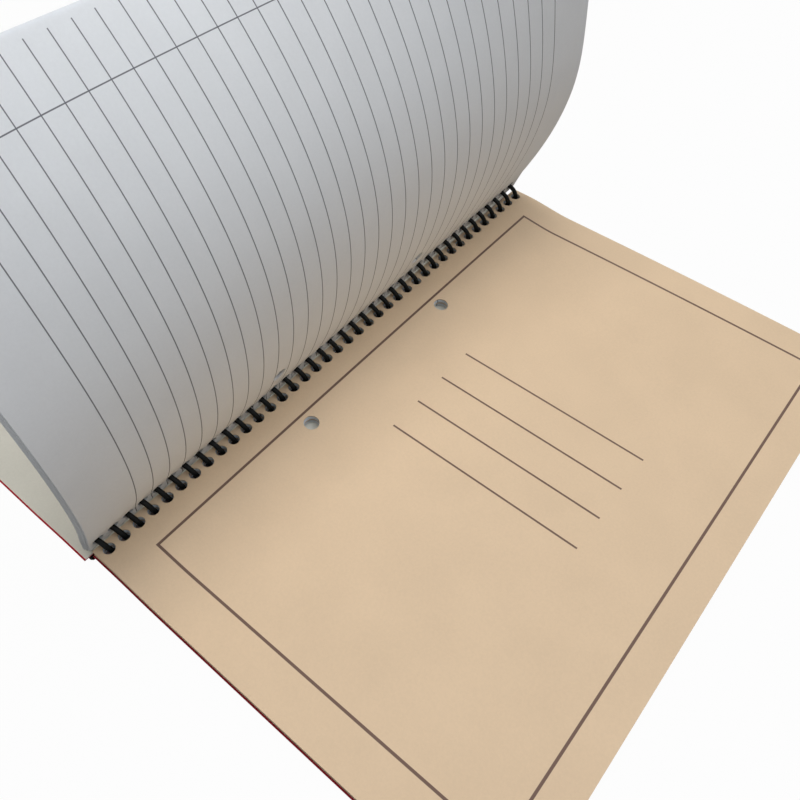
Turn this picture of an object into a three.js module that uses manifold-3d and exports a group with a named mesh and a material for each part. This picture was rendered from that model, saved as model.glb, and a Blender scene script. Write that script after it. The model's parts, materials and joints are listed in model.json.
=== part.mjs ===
// Spiral-bound exercise book, lying open with its first section of leaves lifted.
// Millimetres. X runs across the open book, Y along the binding, Z up from the table.
// The coil's axis stands over the origin, and the two covers lie flat on either side of it.

import * as THREE from 'three';
import Module from 'manifold-3d';
import { mergeGeometries, mergeVertices } from 'three/addons/utils/BufferGeometryUtils.js';

const wasm = await Module();
wasm.setup();

// Sheets: the leaves are a little shorter than the dividers, and the covers stand a little proud
const dividerHeight = 250;
const leafShortfall = 1;
const leafHeight = dividerHeight - leafShortfall;
const leafWidth = 159;
const dividerWidth = 167.5;
const coverWidth = 168.8;
const coverOverhang = 0.5;
const cornerRadius = 3;

// Thicknesses of the card, of the pads of leaves, and the air left between two sheets
const coverThickness = 0.5;
const dividerThickness = 0.3;
const sectionThickness = 1.45;
const liftedPadThickness = 0.8;
const sheetGap = 0.3;

// Spiral coil: as many curls as fit between the ends of the binding
const coilPitch = 6.35;
const coilEndMargin = 1;
const loopCount = Math.floor((dividerHeight - 2 * coilEndMargin) / coilPitch);
const coilRadius = 5.5;
const wireDiameter = 1.8;
const wireSides = 5;
const stepsPerCurl = 8;
const tailLength = 1.6;

// Punched holes: a row for the coil along the binding and a pair for a ring file
const holePlay = 1.4;
const holeSides = 6;
const edgeToHole = 3.2;
const filingHoleDiameter = 6;
const filingHoleSides = 12;
const filingHoleSpacing = 80;
const filingHoleFromEdge = 19.5;
const filingHolesAboveMiddle = 0.8;

// Lie of the sheets: the coil holds them up at the binding, and they sink to the table beyond it
const coverRise = 2.45;
const stripEnd = 9;
const sinkEnd = 34;
const sinkSteps = 6;

// How far each pile has slid along the coil from its wire
const coverSlide = 0.9;
const rightPileSlide = -0.42;
const liftedSlides = [0.3, 0.2, 0];

// Lie of the lifted leaves: the direction of the sheet, in degrees up from +X, at equal steps
// from the straight root to the fore edge, at the near end, the middle and the far end of the binding.
// The pile's right-hand face stands this far to the left of the coil's axis.
const liftedPileOffset = 0.7;
const rootLength = 8;
const rootDirection = 62;
const nearDirections = [62, 77.5, 91, 102, 105, 107.5, 111];
const middleDirections = [62, 74, 86.5, 103, 117, 126, 132.5];
const farDirections = [62, 68, 78, 93, 95, 94, 93];
const liftedSteps = 12;

const paperWhite = new THREE.MeshStandardMaterial({ color: 0xdfe3e6, roughness: 0.9, metalness: 0 });
const buffCard = new THREE.MeshStandardMaterial({ color: 0xd8bd9d, roughness: 0.85, metalness: 0 });
const redCard = new THREE.MeshStandardMaterial({ color: 0xa81f2d, roughness: 0.55, metalness: 0 });
const blackPlastic = new THREE.MeshStandardMaterial({ color: 0x141718, roughness: 0.35, metalness: 0 });

const wireRadius = wireDiameter / 2;
const holeRadius = wireRadius + holePlay;
// The coil's corners stand out and its flats lie in by the same amount, so its mean radius is true
const stepAngle = (2 * Math.PI) / stepsPerCurl;
const cornerReach = (coilRadius * (1 + 1 / Math.cos(stepAngle / 2))) / 2;
const flatReach = cornerReach * Math.cos(stepAngle / 2);
const axisHeight = flatReach + wireRadius;
// The wire climbs one pitch a turn; half a turn apart, the two covers share that climb equally
const wireMiddle = coilPitch / 4;

// Closed solids and three.js geometries

function toSolid(geometry) {
  const bare = geometry.clone();
  bare.deleteAttribute('normal');
  bare.deleteAttribute('uv');
  const merged = mergeVertices(bare, 1e-4);
  return new wasm.Manifold(new wasm.Mesh({
    numProp: 3,
    vertProperties: new Float32Array(merged.attributes.position.array),
    triVerts: new Uint32Array(merged.index.array),
  }));
}

function toGeometry(solid) {
  const mesh = solid.getMesh();
  const geometry = new THREE.BufferGeometry();
  geometry.setAttribute('position', new THREE.BufferAttribute(new Float32Array(mesh.vertProperties), 3));
  geometry.setIndex(new THREE.BufferAttribute(new Uint32Array(mesh.triVerts), 1));
  geometry.computeVertexNormals();
  return geometry;
}

// A prism that punches a hole: its axis runs along the sheet's normal through a point
function punch(point, normal, radius, sides, length) {
  const prism = new THREE.CylinderGeometry(radius, radius, length, sides);
  prism.rotateX(Math.PI / 2);
  const lean = Math.atan2(normal.x, normal.z);
  prism.rotateY(lean);
  prism.translate(point.x, point.y, point.z);
  return prism;
}

// The coil, seen along the binding

// Distance from the axis to the faceted wire at an angle, with a flat straight below the axis
function wireReach(angle) {
  const fromFlat = angle + Math.PI / 2;
  return flatReach / Math.cos(fromFlat - Math.round(fromFlat / stepAngle) * stepAngle);
}

// Angle on the coil, from a sheet's own direction, at which a sheet this far off the axis meets the wire
function crossingAngle(offset, direction) {
  let angle = Math.asin(offset / coilRadius);
  for (let pass = 0; pass < 8; pass += 1) {
    angle = Math.asin(offset / wireReach(direction + angle));
  }
  return angle;
}

// Distance along a sheet to its holes: they stand midway between where the wire meets its two faces
function holeReach(offset, thickness, direction) {
  const reachAt = (face) => {
    const angle = crossingAngle(face, direction);
    return wireReach(direction + angle) * Math.cos(angle);
  };
  return (reachAt(offset - thickness / 2) + reachAt(offset + thickness / 2)) / 2;
}

// Where the middle loop of the wire stands along Y at an angle round the axis
function wireY(angle) {
  return wireMiddle - (coilPitch * angle) / (2 * Math.PI);
}

function coilPath() {
  const bottom = -Math.PI / 2;
  const middleLoop = (loopCount - 1) / 2;
  const at = (angle, reach) => new THREE.Vector3(
    reach * Math.cos(angle),
    wireY(angle) + middleLoop * coilPitch,
    axisHeight + reach * Math.sin(angle),
  );
  // From the far end, at the foot of its last curl, the wire winds back towards the reader
  const points = [at(bottom, flatReach)];
  for (let step = 0; step < loopCount * stepsPerCurl; step += 1) {
    points.push(at(bottom + (step + 0.5) * stepAngle, cornerReach));
  }
  points.push(at(bottom + loopCount * 2 * Math.PI, flatReach));
  // Each end is bent over along the binding, so that the coil can't wind itself out
  const bendFrom = (foot, along) => {
    const bend = foot.clone().add(new THREE.Vector3(-along * wireDiameter, along * wireDiameter / 2, 0));
    return [bend.clone().add(new THREE.Vector3(0, along * tailLength, 0)), bend];
  };
  const farEnd = bendFrom(points[0], 1);
  const nearEnd = bendFrom(points[points.length - 1], -1).reverse();
  return [...farEnd, ...points, ...nearEnd];
}

function tubeAlong(points) {
  const positions = [];
  const indices = [];
  points.forEach((point, index) => {
    const before = points[Math.max(index - 1, 0)];
    const after = points[Math.min(index + 1, points.length - 1)];
    const tangent = after.clone().sub(before).normalize();
    const outward = new THREE.Vector3(point.x, 0, point.z - axisHeight);
    outward.addScaledVector(tangent, -outward.dot(tangent)).normalize();
    const side = tangent.clone().cross(outward);
    for (let corner = 0; corner < wireSides; corner += 1) {
      const turn = (corner / wireSides) * 2 * Math.PI;
      const vertex = point.clone()
        .addScaledVector(outward, wireRadius * Math.cos(turn))
        .addScaledVector(side, wireRadius * Math.sin(turn));
      positions.push(vertex.x, vertex.y, vertex.z);
    }
  });
  for (let ring = 0; ring < points.length - 1; ring += 1) {
    for (let corner = 0; corner < wireSides; corner += 1) {
      const a = ring * wireSides + corner;
      const b = ring * wireSides + ((corner + 1) % wireSides);
      indices.push(a, b, b + wireSides, a, b + wireSides, a + wireSides);
    }
  }
  const last = (points.length - 1) * wireSides;
  for (let corner = 1; corner < wireSides - 1; corner += 1) {
    indices.push(0, corner + 1, corner);
    indices.push(last, last + corner, last + corner + 1);
  }
  const geometry = new THREE.BufferGeometry();
  geometry.setAttribute('position', new THREE.Float32BufferAttribute(positions, 3));
  geometry.setIndex(indices);
  geometry.computeVertexNormals();
  return geometry;
}

// Least gap between one stretch of the wire and any other at least half a curl away
function leastGap(points) {
  let least = Infinity;
  for (let a = 0; a < points.length; a += 1) {
    for (let b = a + stepsPerCurl / 2; b < points.length; b += 1) {
      least = Math.min(least, points[a].distanceTo(points[b]));
    }
  }
  return least - wireDiameter;
}

// Flat sheets on the right and the left of the coil

// Height that a lying sheet has lost at a distance from the axis
function sink(distance) {
  const share = THREE.MathUtils.clamp((distance - stripEnd) / (sinkEnd - stripEnd), 0, 1);
  return coverRise * share * share * (3 - 2 * share);
}

// Row of holes for the coil, at equal pitch about the sheet's middle
function coilHoles(point, normal, middleY, length) {
  const holes = [];
  for (let loop = 0; loop < loopCount; loop += 1) {
    const y = middleY + (loop - (loopCount - 1) / 2) * coilPitch;
    holes.push(punch({ x: point.x, y, z: point.z }, normal, holeRadius, holeSides, length));
  }
  return holes;
}

// Round the two fore-edge corners of a lying sheet with a tall extruded block of its plan
function planBlock(edge, foreEdge, halfHeight, middleY, side) {
  const plan = new THREE.Shape();
  const inner = edge - 1;
  plan.moveTo(inner, -halfHeight);
  plan.lineTo(foreEdge - cornerRadius, -halfHeight);
  plan.absarc(foreEdge - cornerRadius, cornerRadius - halfHeight, cornerRadius, -Math.PI / 2, 0, false);
  plan.lineTo(foreEdge, halfHeight - cornerRadius);
  plan.absarc(foreEdge - cornerRadius, halfHeight - cornerRadius, cornerRadius, 0, Math.PI / 2, false);
  plan.lineTo(inner, halfHeight);
  const block = new THREE.ExtrudeGeometry(plan, { depth: 4 * axisHeight, bevelEnabled: false, curveSegments: 4 });
  if (side < 0) {
    block.rotateZ(Math.PI);
  }
  block.translate(0, middleY, -axisHeight);
  return block;
}

// A sheet that lies on the table, on the right (side 1) or the left (side -1) of the coil.
// bottom is its underside's height at the coil.
function lyingSheet({ bottom, thickness, width, halfHeight, middleY, side, filed, rounded }) {
  const offset = bottom + thickness / 2 - axisHeight;
  const hole = holeReach(offset, thickness, 0);
  const edge = hole - edgeToHole;
  const foreEdge = edge + width;
  const stations = [edge];
  for (let step = 0; step <= sinkSteps; step += 1) {
    stations.push(stripEnd + (step / sinkSteps) * (sinkEnd - stripEnd));
  }
  stations.push(foreEdge);
  const outline = new THREE.Shape();
  const under = stations.map((x) => new THREE.Vector2(side * x, bottom - sink(x)));
  const over = stations.map((x) => new THREE.Vector2(side * x, bottom + thickness - sink(x)));
  outline.setFromPoints([...under, ...over.reverse()]);
  const slab = new THREE.ExtrudeGeometry(outline, { depth: 2 * halfHeight, bevelEnabled: false });
  slab.rotateX(Math.PI / 2);
  slab.translate(0, middleY + halfHeight, 0);

  const up = { x: 0, z: 1 };
  const holes = coilHoles({ x: side * hole, z: axisHeight + offset }, up, middleY, 4 * thickness);
  if (filed) {
    const x = side * (edge + filingHoleFromEdge);
    for (const end of [-1, 1]) {
      const y = middleY + filingHolesAboveMiddle + (end * filingHoleSpacing) / 2;
      const z = axisHeight + offset - sink(Math.abs(x));
      holes.push(punch({ x, y, z }, up, filingHoleDiameter / 2, filingHoleSides, 4 * thickness + coverRise));
    }
  }
  let solid = toSolid(slab);
  if (rounded) {
    solid = solid.intersect(toSolid(planBlock(edge, foreEdge, halfHeight, middleY, side)));
  }
  return toGeometry(solid.subtract(toSolid(mergeGeometries(holes))));
}

// Lifted leaves

const { degToRad } = THREE.MathUtils;

// Direction of the lifted sheet at a distance from its root and a share of the binding's length
function liftedDirection(distance, share) {
  const span = leafWidth - rootLength;
  const along = THREE.MathUtils.clamp((distance - rootLength) / span, 0, 1) * (nearDirections.length - 1);
  const index = Math.min(Math.floor(along), nearDirections.length - 2);
  const part = along - index;
  const between = (row) => row[index] * (1 - part) + row[index + 1] * part;
  const near = between(nearDirections);
  const middle = between(middleDirections);
  const far = between(farDirections);
  const bow = 2 * (near + far - 2 * middle);
  const slope = far - near;
  const centred = share - 0.5;
  return degToRad(middle + slope * centred + bow * centred * centred);
}

const rootAngle = degToRad(rootDirection);
const rootAlong = new THREE.Vector2(Math.cos(rootAngle), Math.sin(rootAngle));
const rootLeft = new THREE.Vector2(-rootAlong.y, rootAlong.x);

// A point in the XZ plane, from a distance along the root's direction and an offset to its left
function fromRoot(along, offset) {
  return new THREE.Vector2(0, axisHeight)
    .addScaledVector(rootAlong, along)
    .addScaledVector(rootLeft, offset);
}

// A pad of lifted leaves between two offsets to the left of the pile's right-hand face
function liftedPad(pileOffset, inner, thickness, middleY) {
  const outer = inner + thickness;
  const offset = pileOffset + (inner + outer) / 2;
  const hole = holeReach(offset, thickness, rootAngle);
  const firstEdge = holeReach(pileOffset, 0, rootAngle) - edgeToHole;
  const start = hole - edgeToHole - firstEdge;

  // Walk up the sheet from its root, and note where each station lies and which way is left there
  const stationsAt = (share) => {
    const stations = [];
    const foot = fromRoot(firstEdge, pileOffset);
    const fineSteps = 8;
    const here = foot.clone();
    const note = (point, direction, distance) => {
      const left = new THREE.Vector2(-Math.sin(direction), Math.cos(direction));
      stations.push({ point: point.clone(), left, distance, along: new THREE.Vector2(left.y, -left.x) });
    };
    note(foot.clone().addScaledVector(rootAlong, start), rootAngle, start);
    here.addScaledVector(rootAlong, rootLength);
    note(here, rootAngle, rootLength);
    const step = (leafWidth - rootLength) / liftedSteps;
    for (let index = 0; index < liftedSteps; index += 1) {
      for (let fine = 0; fine < fineSteps; fine += 1) {
        const distance = rootLength + (index + (fine + 0.5) / fineSteps) * step;
        const direction = liftedDirection(distance, share);
        here.x += (Math.cos(direction) * step) / fineSteps;
        here.y += (Math.sin(direction) * step) / fineSteps;
      }
      const distance = rootLength + (index + 1) * step;
      note(here, liftedDirection(distance, share), distance);
    }
    // Leaves on the inside of the bend reach further: each is as long as the others
    const lastOne = stations[stations.length - 1];
    const turned = liftedDirection(leafWidth, share) - rootAngle;
    const extra = start + ((inner + outer) / 2) * turned;
    lastOne.point.addScaledVector(lastOne.along, extra);
    return stations;
  };

  const rows = [0, 0.25, 0.5, 0.75, 1].map((share) => ({ stations: stationsAt(share), y: middleY + (share - 0.5) * leafHeight }));
  const count = rows[0].stations.length;
  const positions = [];
  const indices = [];
  for (const depth of [inner, outer]) {
    for (const row of rows) {
      for (const station of row.stations) {
        const place = station.point.clone().addScaledVector(station.left, depth);
        positions.push(place.x, row.y, place.y);
      }
    }
  }
  const at = (face, row, station) => (face * rows.length + row) * count + station;
  const quad = (a, b, c, d) => indices.push(a, b, c, a, c, d);
  for (let row = 0; row < rows.length - 1; row += 1) {
    for (let station = 0; station < count - 1; station += 1) {
      quad(at(0, row, station), at(0, row + 1, station), at(0, row + 1, station + 1), at(0, row, station + 1));
      quad(at(1, row, station), at(1, row, station + 1), at(1, row + 1, station + 1), at(1, row + 1, station));
    }
    quad(at(0, row, 0), at(1, row, 0), at(1, row + 1, 0), at(0, row + 1, 0));
    quad(at(0, row, count - 1), at(0, row + 1, count - 1), at(1, row + 1, count - 1), at(1, row, count - 1));
  }
  const lastRow = rows.length - 1;
  for (let station = 0; station < count - 1; station += 1) {
    quad(at(0, 0, station), at(0, 0, station + 1), at(1, 0, station + 1), at(1, 0, station));
    quad(at(0, lastRow, station), at(1, lastRow, station), at(1, lastRow, station + 1), at(0, lastRow, station + 1));
  }
  const pad = new THREE.BufferGeometry();
  pad.setAttribute('position', new THREE.Float32BufferAttribute(positions, 3));
  pad.setIndex(indices);

  const place = fromRoot(hole, offset);
  const normal = { x: rootLeft.x, z: rootLeft.y };
  const holes = coilHoles({ x: place.x, z: place.y }, normal, middleY, 4 * thickness);
  for (const end of [-1, 1]) {
    const fromMiddle = filingHolesAboveMiddle + (end * filingHoleSpacing) / 2;
    const stations = stationsAt(0.5 + fromMiddle / leafHeight);
    const after = stations.findIndex((station) => station.distance > filingHoleFromEdge);
    const [low, high] = [stations[after - 1], stations[after]];
    const part = (filingHoleFromEdge - low.distance) / (high.distance - low.distance);
    const left = low.left.clone().lerp(high.left, part).normalize();
    const centre = low.point.clone().lerp(high.point, part).addScaledVector(left, (inner + outer) / 2);
    holes.push(punch(
      { x: centre.x, y: middleY + fromMiddle, z: centre.y },
      { x: left.x, z: left.y },
      filingHoleDiameter / 2,
      filingHoleSides,
      6 * thickness,
    ));
  }
  return toGeometry(toSolid(pad).subtract(toSolid(mergeGeometries(holes))));
}

// Assembly

const book = new THREE.Group();

function addPiece(name, geometry, material) {
  const mesh = new THREE.Mesh(geometry, material);
  mesh.name = name;
  book.add(mesh);
}

const path = coilPath();
console.log(`spiral coil: least gap to itself ${leastGap(path).toFixed(2)} mm`);
addPiece('spiral_coil', tubeAlong(path), blackPlastic);

const coverHalfHeight = dividerHeight / 2 + coverOverhang;
const coverOffset = coverRise + coverThickness / 2 - axisHeight;
const backCoverAngle = crossingAngle(coverOffset, 0);
const backCoverY = wireY(backCoverAngle) - coverSlide;
const coverForm = {
  bottom: coverRise,
  thickness: coverThickness,
  width: coverWidth,
  halfHeight: coverHalfHeight,
  filed: false,
  rounded: true,
};
addPiece('back_cover', lyingSheet({ ...coverForm, middleY: backCoverY, side: 1 }), redCard);
addPiece('front_cover', lyingSheet({ ...coverForm, middleY: -backCoverY, side: -1 }), redCard);

// The right-hand pile, from the back cover up
const leaves = { thickness: sectionThickness, width: leafWidth, height: leafHeight, material: paperWhite };
const divider = { thickness: dividerThickness, width: dividerWidth, height: dividerHeight, material: buffCard };
const rightPile = [
  { name: 'section_3_leaves', ...leaves },
  { name: 'divider_2', ...divider },
  { name: 'section_2_leaves', ...leaves },
  { name: 'divider_1', ...divider },
];
const pileThickness = rightPile.reduce((sum, sheet) => sum + sheet.thickness + sheetGap, 0);
const pileMiddle = coverRise + coverThickness + pileThickness / 2;
const rightPileY = wireY(crossingAngle(pileMiddle - axisHeight, 0)) + rightPileSlide;
let level = coverRise + coverThickness;
for (const sheet of rightPile) {
  level += sheetGap;
  const geometry = lyingSheet({
    bottom: level,
    thickness: sheet.thickness,
    width: sheet.width,
    halfHeight: sheet.height / 2,
    middleY: rightPileY,
    side: 1,
    filed: true,
    rounded: true,
  });
  addPiece(sheet.name, geometry, sheet.material);
  level += sheet.thickness;
}

// The lifted pile, from the page that faces the reader round to the front cover
const liftedNames = ['section_1_leaves_rear', 'section_1_leaves_middle', 'section_1_leaves_front'];
liftedNames.forEach((name, index) => {
  const inner = index * (liftedPadThickness + sheetGap);
  const padOffset = liftedPileOffset + inner + liftedPadThickness / 2;
  const middleY = wireY(rootAngle + crossingAngle(padOffset, rootAngle)) + liftedSlides[index];
  addPiece(name, liftedPad(liftedPileOffset, inner, liftedPadThickness, middleY), paperWhite);
});

export default book;
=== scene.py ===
import json
import math
import random

import bpy
import numpy as np
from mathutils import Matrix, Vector


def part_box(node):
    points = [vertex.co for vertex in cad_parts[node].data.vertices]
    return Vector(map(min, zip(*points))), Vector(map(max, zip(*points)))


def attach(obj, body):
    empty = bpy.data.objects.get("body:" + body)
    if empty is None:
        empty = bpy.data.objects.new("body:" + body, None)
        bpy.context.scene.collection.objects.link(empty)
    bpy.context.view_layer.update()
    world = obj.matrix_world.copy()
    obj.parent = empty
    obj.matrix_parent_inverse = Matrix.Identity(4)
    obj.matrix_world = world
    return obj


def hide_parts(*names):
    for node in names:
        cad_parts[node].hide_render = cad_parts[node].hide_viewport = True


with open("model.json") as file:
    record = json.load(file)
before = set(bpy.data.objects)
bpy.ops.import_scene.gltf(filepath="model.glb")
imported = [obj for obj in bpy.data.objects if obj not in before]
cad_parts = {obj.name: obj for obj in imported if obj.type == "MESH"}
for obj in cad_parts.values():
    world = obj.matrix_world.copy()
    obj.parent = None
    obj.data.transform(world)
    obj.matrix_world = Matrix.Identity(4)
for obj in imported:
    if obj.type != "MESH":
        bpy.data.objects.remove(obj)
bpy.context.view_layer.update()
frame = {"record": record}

bl_info = {
    "name": "Spiral-bound exercise book",
    "version": (1, 0, 0),
    "blender": (4, 5, 0),
    "location": "View3D > Sidebar > Exercise Book",
    "description": "Models an open spiral-bound exercise book with its first section of leaves lifted",
    "category": "Add Mesh",
}

MM = 0.001

LYING_SHEETS = ("section_3_leaves", "divider_2", "section_2_leaves", "divider_1")
LIFTED_PADS = ("section_1_leaves_rear", "section_1_leaves_middle", "section_1_leaves_front")
BODIES = {node: body for body, nodes in frame["record"]["behaviour"]["bodies"].items() for node in nodes}

# Curls of the coil, and so the holes of each sheet
LOOPS = 39
# The coil's axis above the table
AXIS_HEIGHT = 6.19 * MM
# The rounding of the sheets' two fore-edge corners
CORNER = 3 * MM
# How much nearer to the sheet's head than its middle the two filing holes' middle is
FILING_OFFSET = 0.8 * MM
# Where an area of print runs off the binding edge, it ends this far past it
BEYOND = 10 * MM
# Length and height on a sheet that its UV map spans
UV_SPAN = 300 * MM

# From here on in millimetres. How much further than its solid each sheet reaches into the binding
LIP = 0.3
CARD_THICKNESS = 0.5
# The lifted section's pads: their thickness, the space between them, and where each starts on the curve
PAD_THICKNESS = 0.8
PAD_GAP = 0.3
PAD_STARTS = (-0.21, -0.80, -1.38)
# Between these distances from the coil's axis the lying sheets come down to the table
SINK_START = 9
SINK_END = 34

# Bundles of leaves that show in a lifted pad and in a lying section
BUNDLES_IN_PAD = 4
BUNDLES_IN_SECTION = 7

# The lifted leaves' direction, in degrees up from +X, from the root to the fore edge at equal steps
NEAR_DIRECTIONS = (62, 77.5, 91, 102, 105, 107.5, 111)
MIDDLE_DIRECTIONS = (62, 74, 86.5, 103, 117, 126, 132.5)
FAR_DIRECTIONS = (62, 68, 78, 93, 95, 94, 93)


def linear(hex_colour, alpha=1.0):
    """An sRGB hex colour as the linear values that Blender's sockets hold."""
    digits = hex_colour.lstrip("#")
    channels = [int(digits[i:i + 2], 16) / 255 for i in (0, 2, 4)]
    return (*(c / 12.92 if c <= 0.04045 else ((c + 0.055) / 1.055) ** 2.4 for c in channels), alpha)


def length(name, description, default_mm):
    """A setting that is a length."""
    return bpy.props.FloatProperty(
        name=name, description=description, default=default_mm * MM, min=0.0, unit="LENGTH",
        subtype="DISTANCE", precision=5)


def colour(name, description, hex_colour):
    """A setting that is a colour."""
    return bpy.props.FloatVectorProperty(
        name=name, description=description, default=linear(hex_colour)[:3], size=3, min=0.0, max=1.0,
        subtype="COLOR")


class ExerciseBookSizes(bpy.types.PropertyGroup):
    """Real sizes of the book."""

    pitch: length("Coil pitch", "Distance from one curl of the coil to the next", 6.35)
    wire: length("Wire diameter", "Thickness of the coil's plastic wire", 2.0)
    coil_hole: length("Coil hole", "Diameter of the punched holes that the coil runs through", 4.4)
    hole_from_edge: length("Hole from edge", "Distance from the binding edge to the coil holes' centres", 3.5)
    filing_hole: length("Filing hole", "Diameter of the two holes for a ring file", 6.0)
    filing_from_edge: length("Filing hole from edge", "Distance from the binding edge to the filing holes",
                             19.8)
    filing_spacing: length("Filing hole spacing", "Distance between the two filing holes", 80.0)
    leaf: length("Leaf bundle", "Thickness of the bundles of leaves that show at the edges", 0.165)
    ruling: length("Ruling", "Distance between two ruled lines", 7.0)
    first_line: length("First line", "Height of the lowest ruled line above the foot of the leaf", 19.6)
    margin: length("Margin", "Distance from the margin line to the leaf's fore edge", 17.2)
    border_width: length("Border width", "Width of the divider's printed border, inside", 139.7)
    border_height: length("Border height", "Height of the divider's printed border, inside", 219.6)


class ExerciseBookColours(bpy.types.PropertyGroup):
    """Colours of the book's materials."""

    paper: colour("Paper", "Bright white writing paper", "#E3E7EA")
    board: colour("Divider board", "Buff manila board", "#DDC4A4")
    cover: colour("Cover", "Red coated card", "#A81C2B")
    lining: colour("Cover inside", "Uncoated inside of the cover card", "#D9D8CD")
    ink: colour("Ruling ink", "Grey ink of the ruled lines", "#6E7076")
    brown_ink: colour("Border ink", "Brown ink of the divider's border and lines", "#6B5348")
    wire: colour("Wire", "Black plastic of the coil", "#0B0D0D")


# Materials

def add_node(tree, kind, inputs=None, **settings):
    """Adds a node, sets it up, and gives each named input its value or its link."""
    made = tree.nodes.new(kind)
    for name, value in settings.items():
        setattr(made, name, value)
    for key, value in (inputs or {}).items():
        if isinstance(value, bpy.types.NodeSocket):
            tree.links.new(value, made.inputs[key])
        else:
            made.inputs[key].default_value = value
    return made


def new_material(name):
    """An empty material with its shader and output, and the shader node to fill in."""
    material = bpy.data.materials.new(name)
    material.use_nodes = True
    tree = material.node_tree
    tree.nodes.clear()
    shader = add_node(tree, "ShaderNodeBsdfPrincipled")
    output = add_node(tree, "ShaderNodeOutputMaterial", {"Surface": shader.outputs[0]})
    output.is_active_output = True
    return material, tree, shader


def band(tree, coordinate, centre, half_width, soft=0.05 * MM):
    """1 on a printed line about a coordinate, 0 off it, with a soft edge."""
    apart = add_node(tree, "ShaderNodeMath", {0: coordinate, 1: centre}, operation="SUBTRACT")
    size = add_node(tree, "ShaderNodeMath", {0: apart.outputs[0]}, operation="ABSOLUTE")
    edge = add_node(tree, "ShaderNodeMapRange", {
        "Value": size.outputs[0], "From Min": half_width - soft, "From Max": half_width + soft,
        "To Min": 1.0, "To Max": 0.0})
    return edge.outputs[0]


def within(tree, coordinate, low, high):
    """1 between two limits of a coordinate."""
    return band(tree, coordinate, (low + high) / 2, (high - low) / 2)


def product(tree, first, *others):
    """The masks multiplied: 1 where all of them are 1."""
    total = first
    for other in others:
        total = add_node(tree, "ShaderNodeMath", {0: total, 1: other}, operation="MULTIPLY").outputs[0]
    return total


def either(tree, first, *others):
    """The highest of the masks: 1 where any of them is 1."""
    total = first
    for other in others:
        total = add_node(tree, "ShaderNodeMath", {0: total, 1: other}, operation="MAXIMUM").outputs[0]
    return total


def sheet_coordinates(tree):
    """Distance from the binding edge and height above the sheet's middle, in metres, from its UV map."""
    flat = add_node(tree, "ShaderNodeUVMap", uv_map="sheet")
    parts = add_node(tree, "ShaderNodeSeparateXYZ", {0: flat.outputs[0]})
    across = add_node(tree, "ShaderNodeMath", {0: parts.outputs[0], 1: UV_SPAN}, operation="MULTIPLY")
    upward = add_node(tree, "ShaderNodeMath", {0: parts.outputs[1], 1: UV_SPAN}, operation="MULTIPLY")
    centred = add_node(tree, "ShaderNodeMath", {0: upward.outputs[0], 1: UV_SPAN / 2}, operation="SUBTRACT")
    return across.outputs[0], centred.outputs[0]


def paper_surface(tree, shader, base, dark, light, fibre_mm, mottle_mm, bump):
    """Fibres and faint clouds of a pressed sheet, as colour and as bump. Returns the colour."""
    place = add_node(tree, "ShaderNodeTexCoord").outputs["Object"]
    fibres = add_node(tree, "ShaderNodeTexNoise", {
        "Vector": place, "Scale": 1 / (fibre_mm * MM), "Detail": 3.0, "Roughness": 0.6})
    clouds = add_node(tree, "ShaderNodeTexNoise", {
        "Vector": place, "Scale": 1 / (mottle_mm * MM), "Detail": 2.0, "Roughness": 0.5})
    blend = add_node(tree, "ShaderNodeMath", {0: fibres.outputs[0], 1: clouds.outputs[0]}, operation="ADD")
    share = add_node(tree, "ShaderNodeMapRange", {
        "Value": blend.outputs[0], "From Min": 0.7, "From Max": 1.3, "To Min": dark, "To Max": light})
    tint = add_node(tree, "ShaderNodeHueSaturation", {"Value": share.outputs[0], "Color": (*base, 1.0)})
    relief = add_node(tree, "ShaderNodeBump", {
        "Height": fibres.outputs[0], "Strength": bump, "Distance": 0.03 * MM})
    tree.links.new(relief.outputs[0], shader.inputs["Normal"])
    return tint.outputs[0]


def printed(tree, shader, paper_colour, ink, mask):
    """Lays an ink over a paper's colour where the mask is 1."""
    mixed = add_node(tree, "ShaderNodeMix", {0: mask, 6: paper_colour, 7: (*ink, 1.0)}, data_type="RGBA")
    tree.links.new(mixed.outputs[2], shader.inputs["Base Color"])


def writing_paper(sizes, colours, width, height):
    """Offset-printed writing paper: bright, matte and faintly fibrous, with thin grey rules."""
    material, tree, shader = new_material("Ruled woodfree paper")
    shader.inputs["Roughness"].default_value = 0.85
    shader.inputs["Specular IOR Level"].default_value = 0.25
    base = paper_surface(tree, shader, colours.paper, dark=0.975, light=1.015, fibre_mm=0.9, mottle_mm=14.0,
                         bump=0.25)
    across, upward = sheet_coordinates(tree)
    rule_count = 31
    half_line, soft = 0.17 * MM, 0.06 * MM
    # the rules stop short of the fore edge, and their area ends a little past the outermost two
    fore_gap, past = 1.7 * MM, 3 * MM
    first = sizes.first_line - height / 2
    from_first = add_node(tree, "ShaderNodeMath", {0: upward, 1: first}, operation="SUBTRACT")
    steps = add_node(tree, "ShaderNodeMath", {0: from_first.outputs[0], 1: sizes.ruling}, operation="DIVIDE")
    nearest = add_node(tree, "ShaderNodeMath", {0: steps.outputs[0]}, operation="ROUND")
    off = add_node(tree, "ShaderNodeMath", {0: steps.outputs[0], 1: nearest.outputs[0]}, operation="SUBTRACT")
    apart = add_node(tree, "ShaderNodeMath", {0: off.outputs[0], 1: sizes.ruling}, operation="MULTIPLY")
    rule = band(tree, apart.outputs[0], 0.0, half_line, soft)
    rows = within(tree, upward, first - past, first + (rule_count - 1) * sizes.ruling + past)
    extent = within(tree, across, -BEYOND, width - fore_gap)
    rules = product(tree, rule, rows, extent)
    margin = band(tree, across, width - sizes.margin, half_line, soft)
    printed(tree, shader, base, colours.ink, either(tree, rules, margin))
    return material


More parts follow.
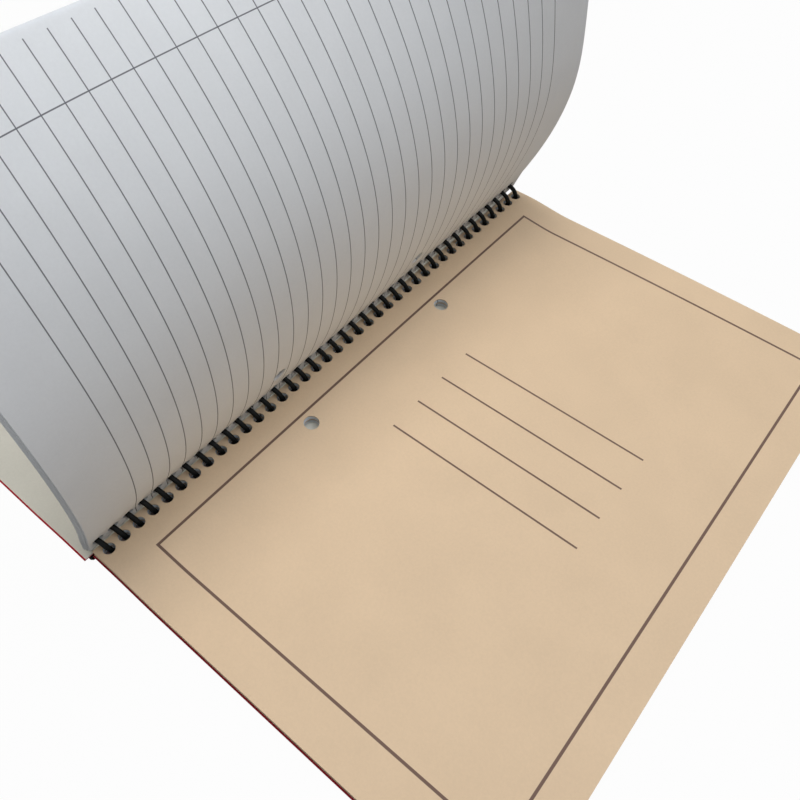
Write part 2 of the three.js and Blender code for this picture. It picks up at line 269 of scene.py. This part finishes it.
def manila_board(sizes, colours, height):
    """Manila board: warm buff, smooth from the calender, with a brown printed frame and four lines."""
    material, tree, shader = new_material("Printed manila board")
    shader.inputs["Roughness"].default_value = 0.62
    shader.inputs["Specular IOR Level"].default_value = 0.3
    base = paper_surface(tree, shader, colours.board, dark=0.96, light=1.03, fibre_mm=0.8, mottle_mm=22.0,
                         bump=0.3)
    across, upward = sheet_coordinates(tree)
    # the inside of the border, and half the thickness of its line
    left = 15.28 * MM
    foot = 16.26 * MM - height / 2
    right, head = left + sizes.border_width, foot + sizes.border_height
    half = 0.5 * MM
    uprights = either(tree, band(tree, across, left - half, half), band(tree, across, right + half, half))
    beams = either(tree, band(tree, upward, foot - half, half), band(tree, upward, head + half, half))
    span = within(tree, across, left - 2 * half, right + 2 * half)
    rise = within(tree, upward, foot - 2 * half, head + 2 * half)
    frame_print = product(tree, either(tree, uprights, beams), span, rise)
    # the four short lines, in millimetres from the border's foot and from its left side
    line_heights = (88.9, 103.8, 119.0, 134.9)
    line_start, line_end = 28.6, 109.4
    lines = [band(tree, upward, foot + up * MM, 0.37 * MM) for up in line_heights]
    inner = within(tree, across, left + line_start * MM, left + line_end * MM)
    printed(tree, shader, base, colours.brown_ink,
            either(tree, frame_print, product(tree, either(tree, *lines), inner)))
    return material


def coated_card(colours):
    """Cast-coated card: an even red print under a thin gloss coat."""
    material, tree, shader = new_material("Red coated card")
    shader.inputs["Roughness"].default_value = 0.42
    shader.inputs["Coat Weight"].default_value = 0.25
    shader.inputs["Coat Roughness"].default_value = 0.25
    base = paper_surface(tree, shader, colours.cover, dark=0.93, light=1.05, fibre_mm=0.7, mottle_mm=30.0,
                         bump=0.15)
    tree.links.new(base, shader.inputs["Base Color"])
    return material


def uncoated_card(colours, width, height):
    """The uncoated inside of the cover card: greyish cream and dull, with a red rim."""
    material, tree, shader = new_material("Uncoated card inside")
    shader.inputs["Roughness"].default_value = 0.8
    shader.inputs["Specular IOR Level"].default_value = 0.25
    base = paper_surface(tree, shader, colours.lining, dark=0.96, light=1.03, fibre_mm=0.8, mottle_mm=20.0,
                         bump=0.3)
    across, upward = sheet_coordinates(tree)
    rim = 0.6 * MM
    plain = product(tree, within(tree, across, -BEYOND, width - rim),
                    within(tree, upward, rim - height / 2, height / 2 - rim))
    edge = add_node(tree, "ShaderNodeMath", {0: 1.0, 1: plain}, operation="SUBTRACT").outputs[0]
    printed(tree, shader, base, colours.cover, edge)
    return material


def black_wire(colours):
    """Extruded PVC filament: near black, with a low sheen and faint draw marks along it."""
    material, tree, shader = new_material("Black PVC filament")
    shader.inputs["Roughness"].default_value = 0.5
    shader.inputs["Specular IOR Level"].default_value = 0.1
    place = add_node(tree, "ShaderNodeTexCoord").outputs["Object"]
    marks = add_node(tree, "ShaderNodeTexNoise", {"Vector": place, "Scale": 1400.0, "Detail": 2.0})
    relief = add_node(tree, "ShaderNodeBump", {
        "Height": marks.outputs[0], "Strength": 0.15, "Distance": 0.02 * MM})
    tree.links.new(relief.outputs[0], shader.inputs["Normal"])
    shade = add_node(tree, "ShaderNodeMapRange", {"Value": marks.outputs[0], "To Min": 0.7, "To Max": 1.4})
    tint = add_node(tree, "ShaderNodeHueSaturation", {
        "Value": shade.outputs[0], "Color": (*colours.wire, 1.0)})
    tree.links.new(tint.outputs[0], shader.inputs["Base Color"])
    return material


# Modelling

def deselect_all():
    if bpy.context.object and bpy.context.object.mode != "OBJECT":
        bpy.ops.object.mode_set(mode="OBJECT")
    bpy.ops.object.select_all(action="DESELECT")


def pick(piece):
    """Makes one object the only selected and active one."""
    deselect_all()
    piece.select_set(True)
    bpy.context.view_layer.objects.active = piece


def apply_modifier(piece, kind, **settings):
    """Adds a modifier, sets it up and applies it."""
    pick(piece)
    modifier = piece.modifiers.new(kind.title(), kind)
    for name, value in settings.items():
        setattr(modifier, name, value)
    bpy.ops.object.modifier_apply(modifier=modifier.name)


def select_edges(piece, wanted):
    """Goes into edit mode with the edges selected whose two ends pass a test."""
    bpy.ops.object.mode_set(mode="EDIT")
    bpy.ops.mesh.select_mode(type="EDGE")
    bpy.ops.mesh.select_all(action="DESELECT")
    bpy.ops.object.mode_set(mode="OBJECT")
    places = [v.co for v in piece.data.vertices]
    for edge in piece.data.edges:
        edge.select = wanted(*(places[i] for i in edge.vertices))
    bpy.ops.object.mode_set(mode="EDIT")


def add_cylinder(x, y, radius, depth, vertices):
    """An upright cylinder with its middle at z = 0."""
    deselect_all()
    bpy.ops.mesh.primitive_cylinder_add(vertices=vertices, radius=radius, depth=depth, location=(x, y, 0))
    bpy.ops.object.transform_apply(location=True, rotation=True, scale=True)
    return bpy.context.object


def flat_sheet(name, width, height, thickness, sizes, columns, rows, filed=True):
    """A flat punched sheet, its binding edge at x = 0 and its middle at y = 0, cut up so that it can bend."""
    deselect_all()
    bpy.ops.mesh.primitive_cube_add(
        size=1, location=(width / 2, 0, thickness / 2), scale=(width, height, thickness))
    bpy.ops.object.transform_apply(location=True, rotation=True, scale=True)
    sheet = bpy.context.object
    sheet.name = sheet.data.name = name
    # the two fore-edge corners are rounded
    select_edges(sheet, lambda a, b: min(a.x, b.x) > width - 1e-6 and abs(a.y - b.y) < 1e-6)
    bpy.ops.mesh.bevel(offset=CORNER, segments=6, affect="EDGES")
    bpy.ops.object.mode_set(mode="OBJECT")

    # one punch pin, repeated along the binding, and two larger ones for the filing holes
    first = -(LOOPS - 1) / 2 * sizes.pitch
    depth = 6 * MM
    pins = add_cylinder(sizes.hole_from_edge, first, sizes.coil_hole / 2, depth, vertices=20)
    apply_modifier(pins, "ARRAY", count=LOOPS, use_relative_offset=False, use_constant_offset=True,
                   constant_offset_displace=(0, sizes.pitch, 0))
    if filed:
        parts = [pins]
        for end in (-1, 1):
            y = FILING_OFFSET + end * sizes.filing_spacing / 2
            parts.append(add_cylinder(sizes.filing_from_edge, y, sizes.filing_hole / 2, depth, vertices=32))
        pick(pins)
        for part in parts:
            part.select_set(True)
        bpy.ops.object.join()
    apply_modifier(sheet, "BOOLEAN", operation="DIFFERENCE", solver="EXACT", object=pins)
    bpy.data.objects.remove(pins)

    pick(sheet)
    bpy.ops.object.mode_set(mode="EDIT")
    for x in columns:
        bpy.ops.mesh.select_all(action="SELECT")
        bpy.ops.mesh.bisect(plane_co=(x, 0, 0), plane_no=(1, 0, 0))
    for y in rows:
        bpy.ops.mesh.select_all(action="SELECT")
        bpy.ops.mesh.bisect(plane_co=(0, y, 0), plane_no=(0, 1, 0))
    bpy.ops.object.mode_set(mode="OBJECT")

    # the sheet's own flat coordinates, which its printing follows when it bends
    layer = sheet.data.uv_layers.active or sheet.data.uv_layers.new()
    layer.name = "sheet"
    for loop in sheet.data.loops:
        place = sheet.data.vertices[loop.vertex_index].co
        layer.data[loop.index].uv = (place.x / UV_SPAN, place.y / UV_SPAN + 0.5)
    return sheet


def steps_between(low, high, step):
    """The places between two limits at which a sheet is cut into equal strips of about a width."""
    count = max(1, round((high - low) / step))
    return [low + (high - low) * i / count for i in range(1, count)]


def reshape(sheet, place):
    """Moves every vertex of a sheet by a function of all their places at once, in millimetres."""
    count = len(sheet.data.vertices)
    flat = np.empty(count * 3)
    sheet.data.vertices.foreach_get("co", flat)
    moved = place(flat.reshape(-1, 3) / MM) * MM
    sheet.data.vertices.foreach_set("co", np.ascontiguousarray(moved).ravel())
    sheet.data.update()


def bundle_leaves(sheet, leaf, thickness, count, seed):
    """Copies a bundle of leaves through a section's thickness, each a hair out of line with the last."""
    draw = random.Random(seed)
    slack = 0.12
    pitch = (thickness - leaf / MM) / (count - 1)
    copies = []
    for index in range(count):
        copy = sheet.copy()
        copy.data = sheet.data.copy()
        bpy.context.collection.objects.link(copy)
        shift = (draw.uniform(-slack, slack), draw.uniform(-slack, slack), index * pitch)
        reshape(copy, lambda places, shift=shift: places + np.array(shift))
        copies.append(copy)
    bpy.data.objects.remove(sheet)
    pick(copies[0])
    for copy in copies:
        copy.select_set(True)
    bpy.ops.object.join()
    return bpy.context.object


def finish_piece(piece, materials, node):
    """Gives a piece its materials and smooth shading, and puts it in its solid's place on the same body."""
    body = BODIES[node]
    piece.data.materials.clear()
    for material in materials:
        piece.data.materials.append(material)
    pick(piece)
    bpy.ops.object.shade_smooth_by_angle(angle=math.radians(35))
    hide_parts(node)
    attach(piece, body)


# The lie of the sheets

def plan_size(node):
    """Width and height of a lying sheet, in metres."""
    low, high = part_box(node)
    return high.x - low.x + LIP * MM, high.y - low.y


def edge_x(node):
    """Where a lying sheet's binding edge is, in millimetres."""
    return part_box(node)[0].x / MM - LIP


def middle_y(node):
    """The middle of a lying sheet along the binding, in millimetres."""
    low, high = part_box(node)
    return (low.y + high.y) / 2 / MM


def sink(distance):
    """How far a lying sheet has come down, in millimetres, at a distance from the coil's axis."""
    low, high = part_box("back_cover")
    rise = (high.z - low.z) / MM - CARD_THICKNESS
    share = np.clip((distance - SINK_START) / (SINK_END - SINK_START), 0, 1)
    return rise * share * share * (3 - 2 * share)


def squeeze(x, y):
    """Share of its height that the right-hand pile loses towards its far end, and most at the far corner."""
    # it grows between these distances, in millimetres, from the coil's axis and along the binding
    start_x, end_x = 45, 168
    start_y, end_y = -64, 126
    at_end, at_corner = 0.24, 0.38
    across = np.clip((x - start_x) / (end_x - start_x), 0, 1)
    upward = np.clip((y - start_y) / (end_y - start_y), 0, 1)
    return at_end * upward**2.5 + at_corner * across**2 * upward**1.5


def lying_grid(node):
    """Where a lying sheet is cut up: closely along its bend, and coarsely on the flat, in metres."""
    width, height = plan_size(node)
    low_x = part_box(node)[0].x
    # the bend lies between these distances from the coil's axis, the rest from about here on the sheet
    bend_start, bend_end, flat_start = 8 * MM, 35 * MM, 33 * MM
    bend = steps_between(bend_start - low_x, bend_end - low_x, 1.8 * MM)
    flat = steps_between(flat_start, width, 12 * MM)
    return bend + flat, steps_between(-height / 2, height / 2, 12.5 * MM)


def lying_place(edge, middle, bottom, piled):
    """Where a lying sheet's vertices go: against the coil at the binding, and down on the table beyond it."""
    def place(flat):
        moved = flat.copy()
        moved[:, 0] += edge
        moved[:, 1] += middle
        moved[:, 2] += bottom - sink(moved[:, 0])
        if piled:
            moved[:, 2] *= 1 - squeeze(moved[:, 0], moved[:, 1])
        return moved
    return place


def spline(values, at):
    """A smooth curve through equally spaced values."""
    knots = np.concatenate([[2 * values[0] - values[1]], values, [2 * values[-1] - values[-2]]])
    index = np.clip(np.floor(at).astype(int), 0, len(values) - 2)
    t = at - index
    a, b, c, d = (knots[index + i] for i in range(4))
    return 0.5 * (2 * b + (c - a) * t + (2 * a - 5 * b + 4 * c - d) * t**2 + (3 * b - a - 3 * c + d) * t**3)


class LiftedLeaves:
    """The curved surface of the lifted leaves' right-hand face, tabled along and up the sheet."""

    root_length = 8.0
    width = 159.0
    # the coil's hole in the foremost leaf, as a distance along it and as a place
    hole_reach = 3.2
    hole = (2.02, 11.48)
    # degrees by which the leaf hangs straighter down at its binding edge, and how soon that fades
    curl = 28.0
    curl_fade = 2.7
    # the table's step along the sheet, and how far it runs past the sheet at both ends
    step = 0.5
    before = 2.0
    after = 8.0
    # the coil climbs as it goes through the leaves, so each stands a little nearer than the one behind it
    nearest_y = 0.7
    climb = 0.34

    def __init__(self):
        self.reach = np.arange(-self.before, self.width + self.after, self.step)
        self.shares = np.linspace(0, 1, 26)
        along = np.clip((self.reach - self.root_length) / (self.width - self.root_length), 0, 1)
        near, middle, far = (
            spline(np.array(row, float), along * (len(row) - 1))
            for row in (NEAR_DIRECTIONS, MIDDLE_DIRECTIONS, FAR_DIRECTIONS))
        centred = self.shares[:, None] - 0.5
        bend = middle + (far - near) * centred + 2 * (near + far - 2 * middle) * centred**2
        hang = self.curl * np.clip(1 - self.reach / self.root_length, 0, 1) ** self.curl_fade
        self.turn = np.radians(bend + hang)
        self.x = self.hole[0] + self.walk(np.cos(self.turn))
        self.z = self.hole[1] + self.walk(np.sin(self.turn))

    def walk(self, pace):
        """Distance gone from the hole along the sheet, in one direction."""
        middles = (pace[:, 1:] + pace[:, :-1]) / 2 * self.step
        gone = np.concatenate([np.zeros((len(self.shares), 1)), np.cumsum(middles, axis=1)], axis=1)
        return gone - self.table(gone, self.shares, np.full(len(self.shares), self.hole_reach))[:, None]

    def table(self, values, share, reach):
        """The tabled values at shares of the sheet's height and distances along it."""
        row = np.clip(share, 0, 1) * (len(self.shares) - 1)
        column = np.clip((reach + self.before) / self.step, 0, len(self.reach) - 1)
        r = np.minimum(row.astype(int), len(self.shares) - 2)
        c = np.minimum(column.astype(int), len(self.reach) - 2)
        fr, fc = row - r, column - c
        low = values[r, c] * (1 - fc) + values[r, c + 1] * fc
        high = values[r + 1, c] * (1 - fc) + values[r + 1, c + 1] * fc
        return low * (1 - fr) + high * fr

    def place(self, height, inner, thickness, start):
        """Where a pad's vertices go, with its right-hand face this far left of the pile's."""
        def place(flat):
            share = flat[:, 1] / height + 0.5
            root = math.radians(NEAR_DIRECTIONS[0])
            turned = self.table(self.turn, share, np.full(len(flat), self.width)) - root
            # inside the bend the way round is shorter, so a pad there goes further along the pile's face
            stretch = 1 + (inner + thickness / 2) * turned / self.width
            reach = start + flat[:, 0] * stretch
            depth = inner + flat[:, 2]
            turn = self.table(self.turn, share, reach)
            x = self.table(self.x, share, reach) - np.sin(turn) * depth
            z = self.table(self.z, share, reach) + np.cos(turn) * depth
            return np.stack([x, flat[:, 1] + self.nearest_y - self.climb * depth, z], axis=1)
        return place


# Operators

class BookOperator:
    """What the operators share: the settings, and an undoable step."""

    bl_options = {"REGISTER", "UNDO"}

    @property
    def sizes(self):
        return bpy.context.scene.exercise_book_sizes

    @property
    def colours(self):
        return bpy.context.scene.exercise_book_colours


class EXERCISEBOOK_OT_stage(BookOperator, bpy.types.Operator):
    """Add the floor, the soft studio light and the camera"""

    bl_idname = "exercise_book.stage"
    bl_label = "Studio"

    def execute(self, context):
        scene = context.scene
        scene.view_settings.view_transform = "Standard"
        deselect_all()
        # a hair below the covers, so that the two don't show through each other
        below = 0.2 * MM
        bpy.ops.mesh.primitive_plane_add(size=6.0, location=(0, 0, -below))
        bpy.ops.object.transform_apply(location=True, rotation=True, scale=True)
        floor = context.object
        floor.name = "floor"
        floor.data.materials.append(self.floor_material())
        self.light_world(scene)
        self.area_light("key_light", place=(-0.15, 0.04, 0.9), target=(0.02, 0.0, 0.03), size=0.38,
                        power=2.9, tint="#FFFAF4")
        self.area_light("overhead_panel", place=(0.33, 0.18, 1.2), target=(0.03, 0.0, 0.05), size=1.3,
                        power=10.6, tint="#F3F7FF")
        self.area_light("page_fill", place=(0.14, -0.38, 0.26), target=(-0.17, -0.13, 0.16), size=0.12,
                        power=0.14, tint="#F3F7FF", spread=50)
        self.add_camera(scene)
        return {"FINISHED"}

    def seen_directly(self, tree):
        """1 on camera, glossy and transmission rays, and 0 on the rays that light a matte surface."""
        path = add_node(tree, "ShaderNodeLightPath")
        return either(tree, path.outputs["Is Camera Ray"], path.outputs["Is Glossy Ray"],
                      path.outputs["Is Transmission Ray"])

    def floor_material(self):
        """A matte grey table that is seen as white ground, but as it is in the slot under the coil."""
        material = bpy.data.materials.new("White studio floor")
        material.use_nodes = True
        tree = material.node_tree
        tree.nodes.clear()
        matte = add_node(tree, "ShaderNodeBsdfDiffuse", {"Color": linear("#B4B4B4")})
        glow = add_node(tree, "ShaderNodeEmission", {"Color": (1, 1, 1, 1), "Strength": 1.0})
        place = add_node(tree, "ShaderNodeSeparateXYZ", {
            0: add_node(tree, "ShaderNodeTexCoord").outputs["Object"]})
        slot_half, slot_near, slot_far = 12 * MM, -123.5 * MM, 126.2 * MM
        slot = product(tree, within(tree, place.outputs[0], -slot_half, slot_half),
                       within(tree, place.outputs[1], slot_near, slot_far))
        clear = add_node(tree, "ShaderNodeMath", {0: 1.0, 1: slot}, operation="SUBTRACT").outputs[0]
        glow_share = 0.97
        share = product(tree, self.seen_directly(tree), clear, glow_share)
        mixed = add_node(tree, "ShaderNodeMixShader", {0: share, 1: matte.outputs[0], 2: glow.outputs[0]})
        add_node(tree, "ShaderNodeOutputMaterial", {"Surface": mixed.outputs[0]})
        return material

    def light_world(self, scene):
        world = bpy.data.worlds.new("Studio")
        scene.world = world
        world.use_nodes = True
        tree = world.node_tree
        tree.nodes.clear()
        soft = add_node(tree, "ShaderNodeBackground", {"Color": linear("#FFF4E4"), "Strength": 0.13})
        white = add_node(tree, "ShaderNodeBackground", {"Color": (1, 1, 1, 1), "Strength": 1.0})
        mixed = add_node(tree, "ShaderNodeMixShader", {
            0: self.seen_directly(tree), 1: soft.outputs[0], 2: white.outputs[0]})
        add_node(tree, "ShaderNodeOutputWorld", {"Surface": mixed.outputs[0]})

    def area_light(self, name, place, target, size, power, tint, spread=180):
        """A square lamp that faces a target, its spread in degrees."""
        deselect_all()
        bpy.ops.object.light_add(type="AREA", location=place)
        lamp = bpy.context.object
        lamp.name = name
        lamp.data.size = size
        lamp.data.energy = power
        lamp.data.color = linear(tint)[:3]
        lamp.data.spread = math.radians(spread)
        lamp.rotation_mode = "QUATERNION"
        lamp.rotation_quaternion = (Vector(target) - Vector(place)).to_track_quat("-Z", "Y")

    def add_camera(self, scene):
        """The photographer's view: from the lower right, looking down on the binding."""
        deselect_all()
        turn = [math.radians(degrees) for degrees in (37.16834, 0.20067, 39.39732)]
        bpy.ops.object.camera_add(location=(0.15676, -0.14849, 0.24638), rotation=turn)
        camera = bpy.context.object
        camera.name = "camera"
        camera.data.sensor_width = 36.0
        camera.data.lens = 35.137
        camera.data.clip_start = 0.01
        scene.camera = camera


class EXERCISEBOOK_OT_lying_sheets(BookOperator, bpy.types.Operator):
    """Add the two dividers and the two sections of leaves that lie on the back cover"""

    bl_idname = "exercise_book.lying_sheets"
    bl_label = "Lying Sheets"

    def execute(self, context):
        sizes = self.sizes
        paper = writing_paper(sizes, self.colours, *plan_size("section_2_leaves"))
        board = manila_board(sizes, self.colours, height=plan_size("divider_1")[1])
        for node in LYING_SHEETS:
            low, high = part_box(node)
            # the solid is as high as its sheet is thick and sinks together
            thickness = (high.z - low.z) / MM - sink(SINK_END)
            bottom = high.z / MM - thickness
            section = "section" in node
            slab = sizes.leaf if section else thickness * MM
            sheet = flat_sheet(node + "_visual", *plan_size(node), slab, sizes, *lying_grid(node))
            if section:
                sheet = bundle_leaves(sheet, sizes.leaf, thickness, BUNDLES_IN_SECTION, seed=27)
            reshape(sheet, lying_place(edge_x(node), middle_y(node), bottom, piled=True))
            finish_piece(sheet, [paper if section else board], node)
        return {"FINISHED"}


class EXERCISEBOOK_OT_covers(BookOperator, bpy.types.Operator):
    """Add the back cover and the turned front cover"""

    bl_idname = "exercise_book.covers"
    bl_label = "Covers"

    def execute(self, context):
        card = coated_card(self.colours)
        lining = uncoated_card(self.colours, *plan_size("back_cover"))
        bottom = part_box("back_cover")[1].z / MM - CARD_THICKNESS
        for node, half_turn in (("back_cover", False), ("front_cover", True)):
            sheet = flat_sheet(node + "_visual", *plan_size("back_cover"), CARD_THICKNESS * MM, self.sizes,
                               *lying_grid("back_cover"), filed=False)
            reshape(sheet, lying_place(edge_x("back_cover"), middle_y("back_cover"), bottom,
                                       piled=not half_turn))
            if half_turn:
                # the front cover is the back cover turned half round on the table
                reshape(sheet, lambda places: places * np.array([-1, -1, 1]))
            finish_piece(sheet, [card, lining], node)
            # the uncoated inside faces up on both sides of the open book
            for face in sheet.data.polygons:
                face.material_index = 1 if face.normal.z > 0.7 else 0
        return {"FINISHED"}


class EXERCISEBOOK_OT_lifted_leaves(BookOperator, bpy.types.Operator):
    """Add the first section of leaves, standing in its curve over the coil"""

    bl_idname = "exercise_book.lifted_leaves"
    bl_label = "Lifted Leaves"

    def execute(self, context):
        sizes = self.sizes
        width, height = plan_size("section_2_leaves")
        paper = writing_paper(sizes, self.colours, width, height)
        surface = LiftedLeaves()
        columns = steps_between(7.5 * MM, width, 4 * MM)
        rows = steps_between(-height / 2, height / 2, 10 * MM)
        for index, (node, start) in enumerate(zip(LIFTED_PADS, PAD_STARTS)):
            inner = index * (PAD_THICKNESS + PAD_GAP)
            sheet = flat_sheet(node + "_visual", width, height, sizes.leaf, sizes, columns, rows)
            sheet = bundle_leaves(sheet, sizes.leaf, PAD_THICKNESS, BUNDLES_IN_PAD, seed=31 + index)
            reshape(sheet, surface.place(height / MM, inner, PAD_THICKNESS, start - LIP))
            finish_piece(sheet, [paper], node)
        return {"FINISHED"}


class EXERCISEBOOK_OT_coil(BookOperator, bpy.types.Operator):
    """Add the spiral coil"""

    bl_idname = "exercise_book.coil"
    bl_label = "Spiral Coil"

    def execute(self, context):
        sizes = self.sizes
        radius = AXIS_HEIGHT - sizes.wire / 2
        start = -LOOPS / 2 * sizes.pitch
        deselect_all()
        # the wire's section, at the foot of the nearest curl, is screwed along the binding
        bpy.ops.mesh.primitive_circle_add(
            vertices=14, radius=sizes.wire / 2, location=(0, start, AXIS_HEIGHT),
            rotation=(0, math.pi / 2, 0))
        coil = context.object
        coil.name = coil.data.name = "spiral_coil_visual"
        bpy.ops.object.transform_apply(location=False, rotation=True, scale=True)
        bpy.ops.object.mode_set(mode="EDIT")
        bpy.ops.mesh.select_all(action="SELECT")
        bpy.ops.transform.translate(value=(0, 0, -radius))
        bpy.ops.object.mode_set(mode="OBJECT")
        apply_modifier(coil, "SCREW", axis="Y", angle=2 * math.pi, screw_offset=sizes.pitch, iterations=LOOPS,
                       steps=40, render_steps=40, use_merge_vertices=False, use_normal_calculate=False)
        pick(coil)
        bpy.ops.object.transform_apply(location=True, rotation=True, scale=True)
        for end in (-1, 1):
            self.bend_end(coil, end)
        pick(coil)
        bpy.ops.object.mode_set(mode="EDIT")
        bpy.ops.mesh.select_all(action="SELECT")
        bpy.ops.mesh.remove_doubles(threshold=0.00001)
        bpy.ops.mesh.normals_make_consistent(inside=False)
        bpy.ops.object.mode_set(mode="OBJECT")
        finish_piece(coil, [black_wire(self.colours)], "spiral_coil")
        return {"FINISHED"}

    def bend_end(self, coil, end):
        """Turns an end of the wire off along the binding and caps it with a small chamfer."""
        pick(coil)
        foot = self.sizes.wire / 2
        edge_y = end * LOOPS / 2 * self.sizes.pitch
        centre = Vector((0, edge_y, foot))
        select_edges(coil, lambda a, b: all(
            abs(p.x) < 1e-5 and (p - centre).length < 1.2 * foot for p in (a, b)))
        # the bend's centre lies a little outside the wire, so that the inner side doesn't crease
        pivot = (0, edge_y + end * 1.3 * foot, foot)
        bpy.ops.mesh.spin(steps=8, angle=math.pi / 2, center=pivot, axis=(0, 0, -1))
        bpy.ops.mesh.edge_face_add()
        bpy.ops.mesh.bevel(offset=0.2 * MM, segments=2, affect="EDGES")
        bpy.ops.object.mode_set(mode="OBJECT")


# Panel and registration

class EXERCISEBOOK_PT_panel(bpy.types.Panel):
    """Sizes, colours and pieces of the exercise book"""

    bl_idname = "EXERCISEBOOK_PT_panel"
    bl_label = "Exercise Book"
    bl_space_type = "VIEW_3D"
    bl_region_type = "UI"
    bl_category = "Exercise Book"

    def draw(self, context):
        for kind in OPERATORS:
            self.layout.operator(kind.bl_idname)
        for group in (context.scene.exercise_book_sizes, context.scene.exercise_book_colours):
            column = self.layout.column()
            for name in group.__annotations__:
                column.prop(group, name)


OPERATORS = (
    EXERCISEBOOK_OT_stage,
    EXERCISEBOOK_OT_covers,
    EXERCISEBOOK_OT_lying_sheets,
    EXERCISEBOOK_OT_lifted_leaves,
    EXERCISEBOOK_OT_coil,
)
CLASSES = (ExerciseBookSizes, ExerciseBookColours, *OPERATORS, EXERCISEBOOK_PT_panel)


def register():
    for kind in CLASSES:
        bpy.utils.register_class(kind)
    bpy.types.Scene.exercise_book_sizes = bpy.props.PointerProperty(type=ExerciseBookSizes)
    bpy.types.Scene.exercise_book_colours = bpy.props.PointerProperty(type=ExerciseBookColours)


def unregister():
    del bpy.types.Scene.exercise_book_sizes
    del bpy.types.Scene.exercise_book_colours
    for kind in reversed(CLASSES):
        bpy.utils.unregister_class(kind)


def main():
    register()
    bpy.ops.exercise_book.stage()
    bpy.ops.exercise_book.covers()
    bpy.ops.exercise_book.lying_sheets()
    bpy.ops.exercise_book.lifted_leaves()
    bpy.ops.exercise_book.coil()


if __name__ == "__main__":
    main()
